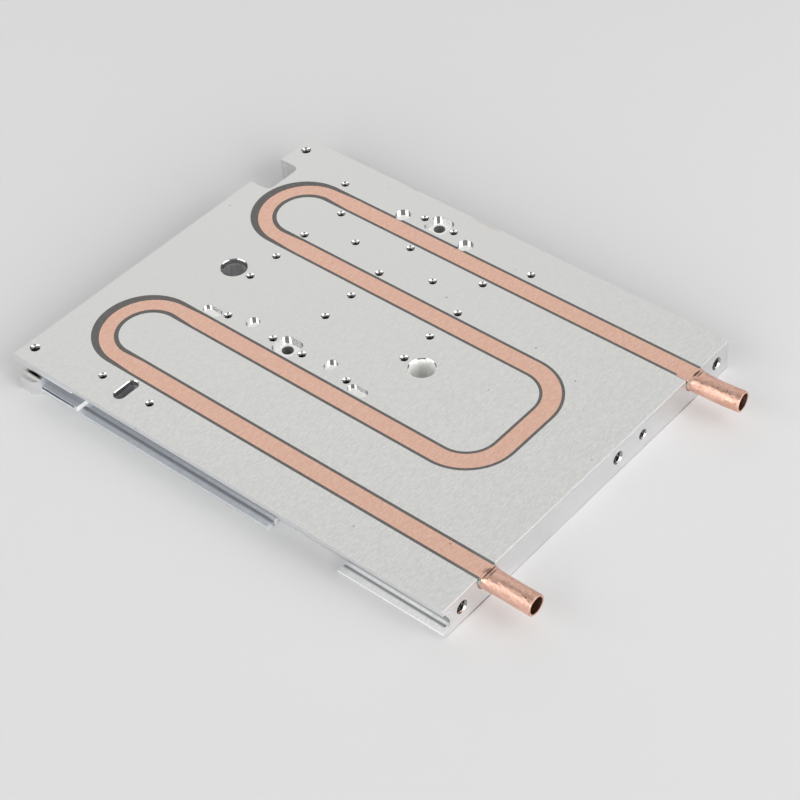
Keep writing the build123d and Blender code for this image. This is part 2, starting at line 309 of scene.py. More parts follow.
def make_scratch_group():
    group, given, result = new_group(
        "fine_scratches",
        [("Position", "Vector", None), ("Per Metre", "Vector", (2500.0, 400.0, 2500.0)),
         ("Contrast", "Float", 1.0)],
        [("Scratch", "Float"), ("Patch", "Float")])
    stretched = vector_maths(group, "MULTIPLY", given["Position"], given["Per Metre"])["Vector"]
    fine = noise_at(group, stretched, Scale=1.0, Detail=2.5, Roughness=0.62)
    spread = product(group, maths(group, "SUBTRACT", fine, 0.5), given["Contrast"])
    group.links.new(maths(group, "ADD", spread, 0.5, clamp=True), result["Scratch"])
    patch = noise_at(group, given["Position"], Scale=55.0, Detail=2.0)
    group.links.new(patch, result["Patch"])
    return group


scratch_group = make_scratch_group()
print("made", scratch_group.name)

# %% [markdown]
# Real metal is also dotted: tiny bright nicks, small dark pits, specks of oxide. Each is a blob
# round a random point. A Voronoi texture has such points ready-made. Its random colour says which of
# them carry a speck, so the share of specks and their size can be set apart from each other.

# %% Node group: scattered specks
BLOB_RIM, BLOB_CORE = 1.0, 0.45    # shares of a speck's radius between which it fades in


def make_speck_group():
    group, given, result = new_group(
        "scattered_specks",
        [("Position", "Vector", None), ("Cells Per Metre", "Float", 400.0),
         ("Share", "Float", 0.1), ("Size", "Float", 0.2)],
        [("Speck", "Float")])
    cells = new_node(group, "ShaderNodeTexVoronoi", feature="F1", voronoi_dimensions="3D")
    group.links.new(given["Position"], cells.inputs["Vector"])
    group.links.new(given["Cells Per Metre"], cells.inputs["Scale"])
    split = new_node(group, "ShaderNodeSeparateColor")
    group.links.new(cells.outputs["Color"], split.inputs["Color"])
    chosen = maths(group, "LESS_THAN", split.outputs["Red"], given["Share"])
    near = maths(group, "DIVIDE", cells.outputs["Distance"], given["Size"])
    round_blob = ramp_between(group, near, BLOB_RIM, BLOB_CORE)
    group.links.new(product(group, chosen, round_blob), result["Speck"])
    return group


speck_group = make_speck_group()
print("made", speck_group.name)

# %% [markdown]
# Some marks have one known place: a smear of glue, a dark pit, and painted shade at the root of a
# cut, in a dark opening and at the foot of a side. Each is a soft blob with its own centre and its
# own half sizes, and noise eats at its rim so that it doesn't look stamped. Painting them on an
# image would tie them to a layout; a blob in space needs none.

# %% Node group: soft spot
SPOT_RIM, SPOT_CORE = 1.15, 0.6    # shares of the half size between which the spot fades in
NIBBLE = 3.0                       # reach of the noise at full raggedness, in half sizes


def make_spot_group():
    group, given, result = new_group(
        "soft_spot",
        [("Position", "Vector", None), ("Centre", "Vector", (0.0, 0.0, 0.0)),
         ("Half Size", "Vector", (0.001, 0.001, 0.001)), ("Raggedness", "Float", 0.2)],
        [("Mask", "Float")])
    offset = vector_maths(group, "SUBTRACT", given["Position"], given["Centre"])["Vector"]
    share = vector_maths(group, "DIVIDE", offset, given["Half Size"])["Vector"]
    length = vector_maths(group, "LENGTH", share)["Value"]
    ragged = maths(group, "SUBTRACT", noise_at(group, given["Position"], Scale=1100.0), 0.5)
    eaten = product(group, ragged, given["Raggedness"], NIBBLE)
    reach = maths(group, "ADD", length, eaten)
    group.links.new(ramp_between(group, reach, SPOT_RIM, SPOT_CORE), result["Mask"])
    return group


spot_group = make_spot_group()
print("made", spot_group.name)

# %% [markdown]
# Edges of a handled metal part are rubbed bright. The Bevel node gives the normal that a slightly
# rounded edge would have; where that differs from the flat face's own normal, an edge is near. Real
# bevelled geometry could be used as well, but this also works on the CAD nodes, whose meshes are
# fixed.

# %% Node group: rubbed edges
TURN_FROM, TURN_TO = 0.995, 0.86   # cosines of the turn between which a face becomes an edge
WEAR_FROM, WEAR_TO = 0.35, 0.6     # noise between which the wear sets in


def make_edge_group():
    group, given, result = new_group(
        "rubbed_edges",
        [("Position", "Vector", None), ("Radius", "Float", 0.0003), ("Evenness", "Float", 0.6)],
        [("Edge", "Float")])
    bevel = new_node(group, "ShaderNodeBevel", samples=4)
    group.links.new(given["Radius"], bevel.inputs["Radius"])
    rounded = bevel.outputs["Normal"]
    flat = new_node(group, "ShaderNodeNewGeometry").outputs["Normal"]
    same = vector_maths(group, "DOT_PRODUCT", rounded, flat)["Value"]
    near_edge = ramp_between(group, same, TURN_FROM, TURN_TO)
    patches = noise_at(group, given["Position"], Scale=420.0)
    kept = ramp_between(group, patches, WEAR_FROM, WEAR_TO)
    kept = maths(group, "MAXIMUM", kept, given["Evenness"])
    group.links.new(product(group, near_edge, kept), result["Edge"])
    return group


edge_group = make_edge_group()
print("made", edge_group.name)

# %% [markdown]
# Each finish is mixed from masks, so a few more helpers come first: one places a group in a
# material, two mix colours or numbers by a mask, and others read where on the part a point lies and
# which way its surface looks. The CAD nodes sit at the origin, so their object coordinates are the
# part's own coordinates in metres.

# %% Material helpers
def use_group(tree, group, position, **values):
    """Places a node group with its own input values; gives its outputs."""
    node = new_node(tree, "ShaderNodeGroup", node_tree=group, **values)
    tree.links.new(position, node.inputs["Position"])
    return node.outputs


def mixed(tree, mask, first, second, blend_type="MIX"):
    """Two colours mixed by a mask."""
    node = new_node(tree, "ShaderNodeMix", data_type="RGBA", blend_type=blend_type)
    for index, value in ((0, mask), (6, first), (7, second)):
        feed(tree, node.inputs[index], value)
    return node.outputs[2]


def mixed_value(tree, mask, first, second):
    """Two numbers mixed by a mask."""
    node = new_node(tree, "ShaderNodeMix", data_type="FLOAT")
    for index, value in ((0, mask), (2, first), (3, second)):
        feed(tree, node.inputs[index], value)
    return node.outputs[0]


def spot_at(tree, position, centre, half_size):
    """The mask of one soft spot; its centre and half sizes are in millimetres."""
    centre, half_size = [v * MM for v in centre], [v * MM for v in half_size]
    return use_group(tree, spot_group, position, Centre=centre, Half_Size=half_size)["Mask"]


def spotted(tree, position, colour, spots):
    """The colour with soft spots laid over it: centre, half sizes (mm), strength and colour."""
    for centre, half_size, strength, spot_colour in spots:
        mask = product(tree, spot_at(tree, position, centre, half_size), strength)
        colour = mixed(tree, mask, colour, spot_colour)
    return colour


def part_position(tree):
    """Position on the part, and its three parts."""
    where = new_node(tree, "ShaderNodeTexCoord").outputs["Object"]
    split = new_node(tree, "ShaderNodeSeparateXYZ")
    tree.links.new(where, split.inputs[0])
    return where, split.outputs


def part_normal(tree):
    """The surface's direction on the part, as three parts."""
    split = new_node(tree, "ShaderNodeSeparateXYZ")
    tree.links.new(new_node(tree, "ShaderNodeTexCoord").outputs["Normal"], split.inputs[0])
    return split.outputs


def bump(tree, height, distance, strength):
    """The normal that a relief of a given height gives the surface."""
    node = new_node(tree, "ShaderNodeBump", Distance=distance, Strength=strength)
    tree.links.new(height, node.inputs["Height"])
    return node.outputs["Normal"]


print("material helpers ready")

# %% [markdown]
# The plate is one piece of bare aluminium, but it has several kinds of surface: the flat top, the
# sides, countersinks, broken outer edges, hole walls, pocket floors and the slot along the near
# side. One material with a mask for each kind keeps the finish running round every corner. A
# material for each face would be simpler, but its border would always be a hard line. Some masks go
# by the way a face looks, the others by where it lies.

# %% Masks of the plate
FACES_UP, FACES_SIDEWAYS = (0.95, 0.995), (0.08, 0.02)     # how upright the face's normal is
FACES_TUBE_END, OFF_END_FACE = (0.4, 0.8), (0.98, 0.90)    # how far it looks along +X
OFF_SIDES_Y, OFF_ENDS_X = (99.6, 99.3), (124.6, 124.2)     # mm from the middle
END_HOLE_Z = 9.0
END_HOLE_REACH = (4.6, 4.4)        # mm above or below the end holes' axes
ZONES = {  # axis, and the two places in mm between which the mask rises from 0 to 1
    "pocket": (("Z", 13.7, 13.9), ("Z", 16.3, 16.2)),
    "slot": (("Y", -91.9, -92.1), ("Z", 13.75, 13.5), ("X", 124.95, 124.85), ("X", -109.4, -108.9)),
    "to_right": (("X", 0.0, 90.0),),
    "ledge_line": (("Y", -97.5, -95.9), ("Y", -95.2, -95.35), ("Z", 2.88, 2.7)),
    "ledge_rear": (("Y", -95.5, -95.2), ("Z", 2.75, 2.85), ("Z", 3.6, 3.4)),
    "rear_to_right": (("X", -60.0, 118.0),),
    "under_flange": (("Y", -94.3, -93.6),),
    "window": (("X", 28.0, 29.0), ("X", 69.6, 68.6), ("Y", -94.0, -93.5)),
    "stretch": (("X", -82.5, -83.5),),
    "stretch_rear": (("Y", -98.2, -97.2),),
    "step_wall": (("X", -75.0, -80.0), ("X", -95.0, -92.0)),
    "foot_shade": (("Z", 0.5, 0.15), ("X", 124.8, 124.9)),
    "near_end": (("X", 124.8, 124.9), ("Y", -30.0, -90.0), ("Z", 0.5, 0.7)),
    "end_holes": (("X", 110.0, 112.0),),
}


def rise(tree, value, start, end):
    """A mask that rises from 0 to 1 between two places in millimetres."""
    return ramp_between(tree, value, start * MM, end * MM)


def zone(tree, place, name, *within):
    """The mask of a named zone, kept to the masks it lies within."""
    return product(tree, *within, *(rise(tree, place[axis], *ends) for axis, *ends in ZONES[name]))


def plate_masks(tree, place):
    """Which kind of surface a point of the plate is on, as named masks."""
    normal = part_normal(tree)
    steepness = maths(tree, "ABSOLUTE", normal["Z"])
    top = ramp_between(tree, steepness, *FACES_UP)
    side = ramp_between(tree, steepness, *FACES_SIDEWAYS)
    sloped = maths(tree, "SUBTRACT", 1.0, maths(tree, "MAXIMUM", top, side), clamp=True)
    off_sides = rise(tree, maths(tree, "ABSOLUTE", place["Y"]), *OFF_SIDES_Y)
    off_ends = rise(tree, maths(tree, "ABSOLUTE", place["X"]), *OFF_ENDS_X)
    inward = product(tree, off_ends, off_sides)
    from_axes = maths(tree, "ABSOLUTE", maths(tree, "SUBTRACT", place["Z"], END_HOLE_Z * MM))
    at_end_holes = rise(tree, from_axes, *END_HOLE_REACH)
    countersink = product(tree, sloped, maths(tree, "MAXIMUM", inward, at_end_holes))
    slot = zone(tree, place, "slot")
    towards_end = ramp_between(tree, normal["X"], *FACES_TUBE_END)
    end_holes = zone(tree, place, "end_holes", at_end_holes, off_sides)
    off_face = ramp_between(tree, normal["X"], *OFF_END_FACE)
    return {
        "top": top,
        "side": side,
        "countersink": countersink,
        "outer_edge": maths(tree, "SUBTRACT", sloped, countersink, clamp=True),
        "hole_wall": product(tree, side, inward, inverted(tree, slot)),
        "pocket": zone(tree, place, "pocket", inward),
        "slot": slot,
        "ledge_line": zone(tree, place, "ledge_line", slot),
        "step_wall": zone(tree, place, "step_wall", slot, towards_end),
        "foot_shade": zone(tree, place, "foot_shade", side),
        "near_end": zone(tree, place, "near_end", side),
        "end_holes": product(tree, end_holes, off_face, inverted(tree, slot)),
    }


print(len(ZONES), "zones on the plate")

# %% [markdown]
# The tones are those of bare metal, shifted from place to place, and much of that shifting is
# painted light and shade. The slot lies in the flange's shade: it is painted darker to the left
# and at the rear, also on the raised stretch, darkest right under the flange and on the window's
# wall, and a thin dark line runs along the ledge; towards the tube end, where light gets in, it is
# painted paler. The lamps give only part of that shade, so the rest is painted, which is simpler
# than a lamp for each corner. Each zone lays its tone over the ones before it.

# %% Tones of the plate
ALUMINIUM = (0.845, 0.845, 0.825)
ALUMINIUM_SIDE = (0.78, 0.78, 0.785)
SLOT_LEFT, SLOT_RIGHT = (0.68, 0.705, 0.74), (0.97, 0.97, 0.97)
SLOT_REAR_LEFT, SLOT_REAR_RIGHT = (0.43, 0.45, 0.48), (0.82, 0.82, 0.82)
UNDER_FLANGE_LEFT, UNDER_FLANGE_RIGHT = (0.36, 0.375, 0.40), (0.42, 0.42, 0.43)
WINDOW_SHADE = (0.57, 0.575, 0.585)
STRETCH_FRONT, STRETCH_REAR = (0.68, 0.70, 0.73), (0.53, 0.555, 0.59)
# painted highlight: the step wall in the slot is painted near white and made less metallic, standing
# in for the bright light that the real wall mirrors
STEP_PAINTED_HIGHLIGHT = (0.97, 0.97, 0.96)
LEDGE_LINE = (0.22, 0.23, 0.26)
LINE_LEFT, LINE_RIGHT = 0.75, 0.85     # how much of the line shows; on the right only its core
# painted shade: the end face is darkened along its foot, where its broken bottom edge meets the
# table
FOOT_SHADE, FOOT_STRENGTH = (0.40, 0.40, 0.42), 0.7
NEAR_END = (0.86, 0.85, 0.85)
BROKEN_EDGE = (0.56, 0.56, 0.56)
# painted shade: the mouths of the end holes are darkened, standing in for the shade inside them
END_HOLE = (0.36, 0.355, 0.35)


def slot_light_and_shade(tree, place, to_right):
    """The painted light and shade inside the slot, from the left end to the tube end."""
    rear_to_right = zone(tree, place, "rear_to_right")
    rear = mixed(tree, rear_to_right, SLOT_REAR_LEFT, SLOT_REAR_RIGHT)
    shaded = mixed(tree, rear_to_right, UNDER_FLANGE_LEFT, UNDER_FLANGE_RIGHT)
    rear = mixed(tree, zone(tree, place, "under_flange"), rear, shaded)
    tone = mixed(tree, to_right, SLOT_LEFT, SLOT_RIGHT)
    tone = mixed(tree, zone(tree, place, "ledge_rear"), tone, rear)
    tone = mixed(tree, zone(tree, place, "window"), tone, WINDOW_SHADE)
    stretch = mixed(tree, zone(tree, place, "stretch_rear"), STRETCH_FRONT, STRETCH_REAR)
    return mixed(tree, zone(tree, place, "stretch"), tone, stretch)


def plate_tone(tree, place, masks):
    """The tone of every surface, with its painted light and shade, before scratches and marks."""
    to_right = zone(tree, place, "to_right")
    line = masks["ledge_line"]
    core = product(tree, line, line, LINE_RIGHT)
    tone = mixed(tree, masks["top"], ALUMINIUM_SIDE, ALUMINIUM)
    for mask, laid_over in (
            (masks["slot"], slot_light_and_shade(tree, place, to_right)),
            (masks["step_wall"], STEP_PAINTED_HIGHLIGHT),
            (product(tree, line, mixed_value(tree, to_right, LINE_LEFT, core)), LEDGE_LINE),
            (product(tree, masks["foot_shade"], FOOT_STRENGTH), FOOT_SHADE),
            (masks["near_end"], NEAR_END),
            (masks["outer_edge"], BROKEN_EDGE),
            (masks["end_holes"], END_HOLE)):
        tone = mixed(tree, mask, tone, laid_over)
    return tone


print("tones from", LEDGE_LINE, "to", SLOT_RIGHT)

# %% [markdown]
# The top was cut flush with the tube and shows short scratches along Y, stronger towards the near
# right corner, where hands and tools went. The sides are cleaner, with marks along the cutter's way,
# and hole walls have upright ones. Countersinks and pocket floors are smooth and mirror the soft
# boxes; the broken outer edges are dull. In the slot and on one hole wall the metal loses its
# mirror. More roughness alone would leave them dark, so they are made less metallic instead, and
# the lamps light them as a pale matt surface. That hole wall is also painted paler than the rest,
# with light and dark streaks.

# %% Material: milled aluminium
TOP_SCRATCHES = dict(Per_Metre=(1900.0, 420.0, 1900.0), Contrast=2.4)
SIDE_SCRATCHES = dict(Per_Metre=(900.0, 160.0, 1600.0), Contrast=1.2)
WALL_SCRATCHES = dict(Per_Metre=(700.0, 700.0, 30.0), Contrast=1.6)
NICKS = dict(Cells_Per_Metre=620.0, Share=0.12, Size=0.15)
PITS = dict(Cells_Per_Metre=150.0, Share=0.05, Size=0.10)
RUBBED_EDGES = dict(Radius=0.2 * MM, Evenness=0.2)
SCRATCH_DARK, SCRATCH_PALE = (0.90, 0.90, 0.90), (1.08, 1.08, 1.08)
NICK, PIT, RUBBED = (0.99, 0.99, 0.99), (0.30, 0.29, 0.28), (0.95, 0.95, 0.95)
NICK_STRENGTH, PIT_STRENGTH, RUBBED_STRENGTH = 0.7, 0.75, 0.3
HANDLED_FROM, HANDLED_TO = -130.0 * MM, 120.0 * MM         # of x - y
HANDLED_LEAST, HANDLED_MOST = 0.35, 1.35
PALE_HOLE_WALL = (28.2, 3.9, 8.0), (12.0, 12.0, 60.0)          # centre and half sizes in mm
PALE_WALL_DARK, PALE_WALL_LIGHT = (0.86, 0.86, 0.84), (1.0, 1.0, 0.98)
SLOT_METALLIC, STEP_METALLIC = 0.5, 0.15
TOP_ROUGHNESS, UNEVENNESS = 0.42, 0.10
ROUGHNESS = (  # each kind of surface is laid over those before it
    ("countersink", 0.15), ("outer_edge", 0.50), ("side", 0.38), ("hole_wall", 0.50),
    ("pocket", 0.14), ("slot", 0.45),
)
PIT_DEPTH = 2.0                    # in scratches
TOP_RELIEF, WALL_RELIEF = 0.3, 9.0
PLATE_BUMP = dict(distance=0.000012, strength=0.5)
PLATE_MARKS_AND_SHADE = (  # centre, half sizes in mm, strength, colour
    ((121.35, 3.25, 16.5), (0.35, 0.35, 0.3), 0.8, (0.16, 0.15, 0.14)),
    ((-56.0, 99.7, 16.4), (5.0, 0.35, 0.5), 0.35, (0.35, 0.33, 0.31)),
    ((-10.5, 98.9, 16.5), (9.5, 0.8, 0.5), 0.22, (0.55, 0.42, 0.33)),
    ((31.0, -12.0, 16.5), (0.3, 0.3, 0.3), 0.5, (0.25, 0.24, 0.23)),
    # painted shade: black in the deep opening behind the left lug
    ((-114.9, -98.8, 8.0), (5.0, 1.0, 2.2), 1.0, (0.02, 0.02, 0.025)),
    # painted shade: navy in the groove along the front of the raised stretch
    ((-100.5, -99.3, 3.9), (14.0, 0.9, 0.8), 1.0, (0.13, 0.17, 0.27)),
    # painted shadows: dark at the foot of the end face under the two tube stubs
    ((125.0, -76.5, 0.1), (1.0, 9.0, 0.8), 0.8, (0.18, 0.15, 0.15)),
    ((125.0, 69.0, 0.1), (1.0, 6.5, 0.8), 0.6, (0.18, 0.15, 0.15)),
)


def make_aluminium():
    material, tree, shader = new_material("milled_aluminium")
    where, place = part_position(tree)
    masks = plate_masks(tree, place)
    top, side, wall = (
        use_group(tree, scratch_group, where, **marks)["Scratch"]
        for marks in (TOP_SCRATCHES, SIDE_SCRATCHES, WALL_SCRATCHES))
    nicks = use_group(tree, speck_group, where, **NICKS)["Speck"]
    pits = use_group(tree, speck_group, where, **PITS)["Speck"]
    rubbed = use_group(tree, edge_group, where, **RUBBED_EDGES)["Edge"]
    scratch = mixed_value(tree, masks["top"], side, top)
    scratch = mixed_value(tree, masks["hole_wall"], scratch, wall)
    level_scratch = maths(tree, "SUBTRACT", scratch, 0.5)
    off_pocket = inverted(tree, masks["pocket"])

    handled = ramp_between(
        tree, maths(tree, "SUBTRACT", place["X"], place["Y"]), HANDLED_FROM, HANDLED_TO,
        HANDLED_LEAST, HANDLED_MOST)
    grain = product(tree, level_scratch, mixed_value(tree, masks["top"], 1.0, handled))
    shade = mixed(tree, maths(tree, "ADD", grain, 0.5), SCRATCH_DARK, SCRATCH_PALE)
    colour = mixed(tree, 1.0, plate_tone(tree, place, masks), shade, "MULTIPLY")
    for mask, strength, mark in (
            (nicks, NICK_STRENGTH, NICK), (pits, PIT_STRENGTH, PIT),
            (rubbed, RUBBED_STRENGTH, RUBBED)):
        colour = mixed(tree, product(tree, mask, strength), colour, mark)
    colour = spotted(tree, where, colour, PLATE_MARKS_AND_SHADE)
    pale_wall = product(tree, spot_at(tree, where, *PALE_HOLE_WALL), masks["hole_wall"])
    colour = mixed(tree, pale_wall, colour, mixed(tree, wall, PALE_WALL_DARK, PALE_WALL_LIGHT))
    tree.links.new(colour, shader.inputs["Base Color"])

    metal = mixed_value(tree, masks["slot"], 1.0, SLOT_METALLIC)
    metal = mixed_value(tree, masks["step_wall"], metal, STEP_METALLIC)
    metal = mixed_value(tree, pale_wall, metal, 0.0)
    tree.links.new(metal, shader.inputs["Metallic"])

    rough = TOP_ROUGHNESS
    for kind, roughness in ROUGHNESS:
        rough = mixed_value(tree, masks[kind], rough, roughness)
    rough = maths(tree, "ADD", rough, product(tree, level_scratch, off_pocket, UNEVENNESS))
    tree.links.new(rough, shader.inputs["Roughness"])

    height = maths(tree, "SUBTRACT", scratch, product(tree, pits, PIT_DEPTH))
    deep_wall = product(tree, masks["hole_wall"], off_pocket)
    relief = mixed_value(tree, masks["top"], 1.0, TOP_RELIEF)
    relief = product(tree, mixed_value(tree, deep_wall, relief, WALL_RELIEF), off_pocket)
    height = product(tree, height, relief)
    tree.links.new(bump(tree, height, **PLATE_BUMP), shader.inputs["Normal"])
    return material


def dress(node_name, material):
    """The CAD node keeps its shape and gets the material in all its slots."""
    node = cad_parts[node_name]
    if not node.material_slots:
        node.data.materials.append(material)
    for slot in node.material_slots:
        slot.material = material
    return node


aluminium = make_aluminium()
print(dress("base_plate", aluminium).name, "wears", aluminium.name)

# %% [markdown]
# The tube is soft copper. Inside the plate it was cut flush together with the aluminium, so it has
# the same cross scratches, brighter and pinker than the rest. Outside it keeps its drawn skin, a
# little darker and glossier, with brown spots where flux and fingers have been. A mask along X parts
# them. The bore is darker still: its faces are those that look towards the tube's own axis. Just
# beyond the end face, dark strokes across the tube are painted shadow of the small steps that the
# flush cut and a press tool left there.

# %% Material: copper
EXIT_X = 125.0 * MM
RUN_Y = 72.5 * MM
STUB_Z = 13.3 * MM
SKIN_FROM, SKIN_TO = 0.9 * MM, 1.5 * MM                    # beyond the end face
BORE_TURN = -1.0 * MM              # a bore's face looks back at the axis by more than this
COPPER_CUT, COPPER_SKIN = (0.95, 0.615, 0.485), (0.89, 0.560, 0.445)
COPPER_WORN, COPPER_PALE = (0.70, 0.40, 0.295), (0.97, 0.70, 0.60)
COPPER_PATCH, COPPER_DARK = (0.66, 0.36, 0.26), (0.42, 0.24, 0.17)
COPPER_SPOT = (0.40, 0.22, 0.15)
CUT_UPWARD = (0.90, 0.99)          # how upright the normal of the cut face is
WORN_BELOW, PALE_ABOVE, PATCHY_ABOVE = (0.85, 0.15), (0.6, 1.0), (0.50, 0.68)      # of the noise
CUT_WORN, SKIN_WORN, PALE, PATCHY, PITTED, SPOTTY = 0.4, 0.5, 0.5, 0.45, 0.55, 0.45    # strengths
CUT_ROUGHNESS, SKIN_ROUGHNESS, COPPER_UNEVENNESS = 0.40, 0.34, 0.14
SKIN_COAT = 0.10
COPPER_PIT_DEPTH = 1.5             # in scratches
SKIN_RELIEF = 14.0                 # against 1 on the cut face
COPPER_BUMP = dict(distance=0.000016, strength=0.6)
CUT_SCRATCHES = dict(Per_Metre=(1900.0, 450.0, 1900.0), Contrast=3.0)
DRAWN_SCRATCHES = dict(Per_Metre=(650.0, 950.0, 950.0), Contrast=2.6)
COPPER_PITS = dict(Cells_Per_Metre=330.0, Share=0.06, Size=0.17)
COPPER_SPOTS = dict(Cells_Per_Metre=260.0, Share=0.20, Size=0.20)
BURNT_AND_SHADE = (0.13, 0.075, 0.05)
COPPER_MARKS_AND_SHADE = (  # centre, half sizes in mm, strength, colour
    ((104.2, -69.9, 16.5), (0.4, 0.4, 0.3), 0.85, BURNT_AND_SHADE),
    # the next two: painted shadow, dark strokes across the tube at the small steps beyond the end
    # face
    ((126.5, -72.3, 16.9), (0.8, 4.4, 1.4), 1.0, BURNT_AND_SHADE),
    ((128.3, -72.3, 17.6), (0.6, 2.6, 1.0), 0.65, BURNT_AND_SHADE),
    ((125.5, -71.6, 16.5), (0.45, 1.9, 0.5), 0.65, BURNT_AND_SHADE),
    ((124.8, -72.7, 16.5), (0.45, 2.3, 0.5), 0.55, BURNT_AND_SHADE),
    ((124.0, -72.4, 16.5), (0.4, 1.9, 0.5), 0.35, BURNT_AND_SHADE),
    # the next two: painted shadow, dark strokes across the tube at the small steps beyond the end
    # face
    ((126.1, 73.3, 16.7), (0.9, 3.1, 1.0), 1.0, BURNT_AND_SHADE),
    ((127.9, 73.0, 17.4), (0.5, 2.4, 0.7), 0.85, BURNT_AND_SHADE),
    ((146.7, -75.0, 17.7), (0.55, 0.4, 0.5), 0.7, BURNT_AND_SHADE),
    ((145.4, -68.9, 16.9), (0.7, 0.5, 0.5), 0.7, BURNT_AND_SHADE),
    ((147.6, -68.2, 16.0), (0.8, 0.5, 0.5), 0.7, BURNT_AND_SHADE),
    ((149.0, 68.8, 15.1), (0.7, 0.5, 0.6), 0.6, BURNT_AND_SHADE),
    ((143.3, 70.9, 17.9), (0.5, 0.5, 0.4), 0.6, BURNT_AND_SHADE),
)


def copper_masks(tree, place):
    """The tube beyond the plate, the face cut flush with the top, and the bore."""
    normal = part_normal(tree)
    outside = ramp_between(tree, place["X"], EXIT_X + SKIN_FROM, EXIT_X + SKIN_TO)
    upward = ramp_between(tree, normal["Z"], *CUT_UPWARD)
    cut_face = product(tree, upward, inverted(tree, outside))
    from_axis = maths(tree, "SUBTRACT", maths(tree, "ABSOLUTE", place["Y"]), RUN_Y)
    side_turn = product(tree, normal["Y"], maths(tree, "SIGN", place["Y"]), from_axis)
    up_turn = product(tree, normal["Z"], maths(tree, "SUBTRACT", place["Z"], STUB_Z))
    turn = maths(tree, "ADD", side_turn, up_turn)
    bore = product(tree, outside, maths(tree, "LESS_THAN", turn, BORE_TURN))
    return outside, cut_face, bore


def make_copper():
    material, tree, shader = new_material("copper_tube")
    where, place = part_position(tree)
    outside, cut_face, bore = copper_masks(tree, place)
    cross = use_group(tree, scratch_group, where, **CUT_SCRATCHES)
    drawn = use_group(tree, scratch_group, where, **DRAWN_SCRATCHES)
    pits = use_group(tree, speck_group, where, **COPPER_PITS)["Speck"]
    spots = use_group(tree, speck_group, where, **COPPER_SPOTS)["Speck"]
    scratch = mixed_value(tree, cut_face, drawn["Scratch"], cross["Scratch"])
    worn = ramp_between(tree, scratch, *WORN_BELOW)
    patch = ramp_between(tree, drawn["Patch"], *PATCHY_ABOVE, 0.0, PATCHY)

    tone = mixed(tree, outside, COPPER_CUT, COPPER_SKIN)
    for mask, laid_over in (
            (product(tree, worn, mixed_value(tree, outside, CUT_WORN, SKIN_WORN)), COPPER_WORN),
            (ramp_between(tree, scratch, *PALE_ABOVE, 0.0, PALE), COPPER_PALE),
            (product(tree, patch, outside), COPPER_PATCH),
            (product(tree, pits, PITTED), COPPER_DARK),
            (product(tree, spots, outside, SPOTTY), COPPER_SPOT)):
        tone = mixed(tree, mask, tone, laid_over)
    tone = spotted(tree, where, tone, COPPER_MARKS_AND_SHADE)
    tone = mixed(tree, bore, tone, COPPER_DARK)
    tree.links.new(tone, shader.inputs["Base Color"])

    shader.inputs["Metallic"].default_value = 1.0
    rough = mixed_value(tree, outside, CUT_ROUGHNESS, SKIN_ROUGHNESS)
    uneven = product(tree, maths(tree, "SUBTRACT", scratch, 0.5), COPPER_UNEVENNESS)
    tree.links.new(maths(tree, "ADD", rough, uneven), shader.inputs["Roughness"])
    tree.links.new(product(tree, outside, SKIN_COAT), shader.inputs["Coat Weight"])
    shader.inputs["Coat Roughness"].default_value = 0.30
    height = maths(tree, "SUBTRACT", scratch, product(tree, pits, COPPER_PIT_DEPTH))
    height = product(tree, height, mixed_value(tree, outside, 1.0, SKIN_RELIEF))
    tree.links.new(bump(tree, height, **COPPER_BUMP), shader.inputs["Normal"])
    return material


copper = make_copper()
print(dress("coolant_tube", copper).name, "wears", copper.name)

# %% [markdown]
# Thermal epoxy fills what is left of the groove. It is a dark grey paste that was cut flush when
# hard, so it is matt, with paler grains of filler and a few small voids. A dielectric with a
# speckled colour is all that it needs.

# %% Material: thermal epoxy
PASTE_DARK, PASTE_PALE = (0.085, 0.080, 0.077), (0.175, 0.165, 0.158)
FILLER, VOID = (0.42, 0.40, 0.38), (0.03, 0.028, 0.026)
BEAD_GREY = (0.27, 0.31, 0.29)
FILLER_STRENGTH, VOID_STRENGTH, GREYER = 0.35, 0.8, 0.5
GREYER_X = (108.0 * MM, 122.0 * MM)    # towards the tube end the paste turns to the beads' grey
PASTE_BUMP = dict(distance=0.00003, strength=0.6)


def make_epoxy():
    material, tree, shader = new_material("thermal_epoxy_fill")
    where, place = part_position(tree)
    grain = use_group(tree, scratch_group, where, Per_Metre=(1500.0, 900.0, 1500.0), Contrast=1.5)
    filler = use_group(tree, speck_group, where, Cells_Per_Metre=1400.0, Share=0.30, Size=0.30)
    voids = use_group(tree, speck_group, where, Cells_Per_Metre=500.0, Share=0.08, Size=0.25)
    tone = mixed(tree, grain["Scratch"], PASTE_DARK, PASTE_PALE)
    tone = mixed(tree, product(tree, filler["Speck"], FILLER_STRENGTH), tone, FILLER)
    tone = mixed(tree, product(tree, voids["Speck"], VOID_STRENGTH), tone, VOID)
    near_exit = ramp_between(tree, place["X"], *GREYER_X, 0.0, GREYER)
    tone = mixed(tree, product(tree, near_exit, grain["Patch"]), tone, BEAD_GREY)
    tree.links.new(tone, shader.inputs["Base Color"])
    shader.inputs["Roughness"].default_value = 0.55
    shader.inputs["Specular IOR Level"].default_value = 0.35
    tree.links.new(bump(tree, grain["Scratch"], **PASTE_BUMP), shader.inputs["Normal"])
    return material


epoxy = make_epoxy()
print(dress("thermal_epoxy", epoxy).name, "wears", epoxy.name)

# %% [markdown]
# A tapped hole shows its thread as fine rings of light. The CAD hole is only as wide as the drill,
# so the thread's crests stand on its wall as one helical ridge. Boolean cuts of a true thread would
# cost many faces in every hole; a swept ridge with a narrow crest has the same look and stays cheap.

